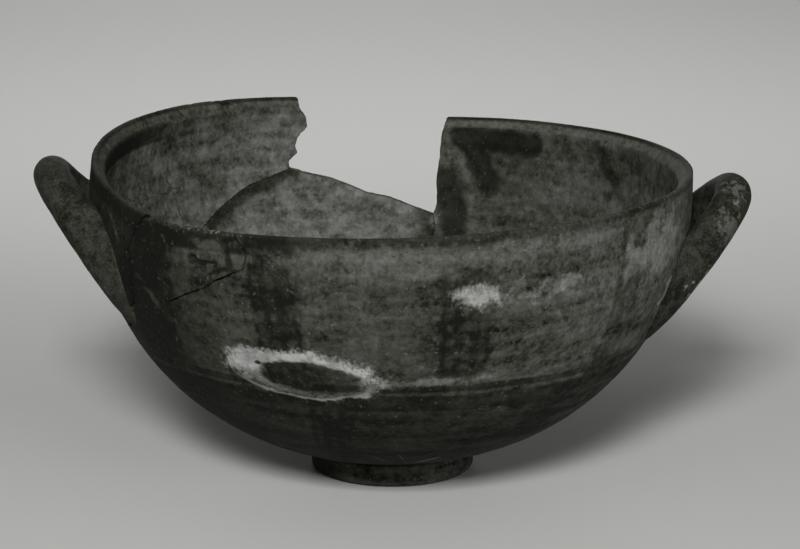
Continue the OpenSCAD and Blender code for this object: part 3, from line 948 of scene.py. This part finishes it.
HANDLE_BIG, HANDLE_MID = (34, 2, 4), (9, 3, 6)
HANDLE_SMALL, HANDLE_GRAIN = (3.4, 3, 9), (1.0, 2, 2)
HANDLE_LIGHT, HANDLE_DARK = ((1.3, 1, 21), (0.69, 0.77)), ((1.5, 1, 57), (0.68, 0.77))
SPOT_FRAY, SPOT_FRAY_BY, SPOT_EDGE = (3, 4, 13), 3.4, (0.9, 0.5)
# Tone of each handle, and its lime spots: place, size, strength.
RIGHT_TONE, RIGHT_SPOTS = 0.21, (
    ((118, -27, 84), 9, 0.7), ((137, -14, 121), 8, 0.3), ((133, -24, 104), 8, 0.22))
LEFT_TONE, LEFT_SPOTS = 0.33, (
    ((-136, -14, 113), 4.5, 0.7), ((-128, -19, 108), 4, 0.5), ((-113, -35, 88), 4, 0.6),
    ((-117, -30, 94), 5, 0.4))


def handle_clay(name, base, spots):
    """The same clay on a handle: smoother, soot darkened, with lime spots."""
    c = Clay(name)
    mid, small, grain = (c.noise(*v) for v in (HANDLE_MID, HANDLE_SMALL, HANDLE_GRAIN))
    tone = varied(base, (c.noise(*HANDLE_BIG), 0.45), (mid, 0.55), (small, 0.75), (grain, 0.7))
    fray = (c.noise(*SPOT_FRAY) - 0.5) * SPOT_FRAY_BY
    for (x, y, z), size, strength in spots:
        dx, dy, dz = c.x - x, c.y - y, c.z - z
        distance = (dx * dx + dy * dy + dz * dz).root() / size
        patch = (distance + fray).step(*SPOT_EDGE) * strength
        tone = tone.towards(varied(2.9, (grain, 2)), patch)
    light, dark = c.specks(*HANDLE_LIGHT), c.specks(*HANDLE_DARK)
    tone = tone * dark.fade(0.5) + light * 0.3
    return c.finish(tone, mid * 0.6 + small * 0.6 + grain * 0.45 - dark * 0.3)


rear_shift = [float(v) for v in rear_back(np.zeros((1, 3)))[0]]
wall_mat = WallClay("wall_clay").material()
slid_mat = WallClay("slid_wall_clay", slid=True).material()
rear_mat = WallClay("rear_wall_clay", shift=rear_shift).material()
right_mat = handle_clay("right_handle_clay", RIGHT_TONE, RIGHT_SPOTS)
left_mat = handle_clay("left_handle_clay", LEFT_TONE, LEFT_SPOTS)
for obj, mat in ((body, wall_mat), (left, slid_mat), (rear, rear_mat), (front, wall_mat),
                 (foot, wall_mat), (right_handle, right_mat), (left_handle, left_mat)):
    obj.data.materials.clear()
    obj.data.materials.append(mat)


# Stage, light and camera.

FLOOR_HALF, FLOOR_BELOW, FLOOR_CELLS = 6000.0, 0.05, 8
FLOOR_COLOUR, FLOOR_ROUGH = (0.462, 0.466, 0.450, 1), 0.9
SKY_COLOUR, SKY_SEEN, SKY_FILL = (1, 1, 0.97, 1), 0.42, 0.03
# Lights: name, place, aim, side of the square, watts.
LIGHTS = (
    ("key", (-0.16, -1.90, 1.18), (0, 0, 0.04), 0.45, 61),
    ("side", (1.90, -2.27, 0.86), (0, 0, 0.05), 1.07, 20),
    ("top", (0.2, -0.5, 2.0), (0, 0, 0.05), 1.3, 2.0),
    ("back", (0.0, 0.6, 0.9), (0.0, 1.5, 0.4), 1.0, 7.4),
    ("rear", (-0.2, 2.6, 0.42), (0, 0, 0.06), 1.0, 11))
# The camera, fitted to the photograph: degrees above level, metres from the place it looks at.
CAMERA_UP, CAMERA_AWAY = math.radians(13.5), 1.3
CAMERA_X, CAMERA_Z = 0.0032, 0.0796
SENSOR_MM, FOCAL_PIXELS, PICTURE_PIXELS, CLIP_END = 36, 3233, 800, 20


def level_floor():
    """A wide level table, so that the bowl can be seen from every side."""
    line = np.linspace(-FLOOR_HALF, FLOOR_HALF, FLOOR_CELLS + 1)
    pts = np.array([(x, y, -FLOOR_BELOW) for y in line for x in line])
    row = FLOOR_CELLS + 1
    corners = [j * row + i for j in range(FLOOR_CELLS) for i in range(FLOOR_CELLS)]
    return make("table_top", pts, [(k, k + 1, k + row + 1, k + row) for k in corners])


def floor_material():
    mat = bpy.data.materials.new("paper")
    mat.use_nodes = True
    shader = mat.node_tree.nodes["Principled BSDF"]
    shader.inputs["Base Color"].default_value = FLOOR_COLOUR
    shader.inputs["Roughness"].default_value = FLOOR_ROUGH
    return mat


def area_light(name, place, aim, size, power):
    data = bpy.data.lights.new(name, "AREA")
    data.shape = "SQUARE"
    data.size = size
    data.energy = power
    obj = bpy.data.objects.new(name, data)
    obj.location = place
    obj.rotation_euler = (Vector(aim) - Vector(place)).to_track_quat("-Z", "Y").to_euler()
    obj.visible_camera = False
    bpy.context.scene.collection.objects.link(obj)


floor = level_floor()
floor.data.materials.append(floor_material())

for row in LIGHTS:
    area_light(*row)

# The surroundings look pale to the camera and give the bowl only a weak fill.
world = bpy.data.worlds.new("studio")
bpy.context.scene.world = world
world.use_nodes = True
sky = world.node_tree.nodes["Background"]
sky.inputs["Color"].default_value = SKY_COLOUR
ray = world.node_tree.nodes.new("ShaderNodeLightPath")
seen = strongest([Term(world.node_tree, ray.outputs[kind])
                  for kind in ("Is Camera Ray", "Is Glossy Ray", "Is Transmission Ray")])
strength = seen * (SKY_SEEN - SKY_FILL) + SKY_FILL
world.node_tree.links.new(strength.socket, sky.inputs["Strength"])

camera = bpy.data.objects.new("camera", bpy.data.cameras.new("camera"))
camera.location = (CAMERA_X, -CAMERA_AWAY * math.cos(CAMERA_UP),
                   CAMERA_Z + CAMERA_AWAY * math.sin(CAMERA_UP))
camera.rotation_euler = (math.pi / 2 - CAMERA_UP, 0, 0)
camera.data.sensor_width = SENSOR_MM
camera.data.sensor_fit = "HORIZONTAL"
camera.data.lens = FOCAL_PIXELS / PICTURE_PIXELS * SENSOR_MM
camera.data.clip_end = CLIP_END
bpy.context.scene.collection.objects.link(camera)
bpy.context.scene.camera = camera
bpy.context.scene.view_settings.view_transform = "Standard"
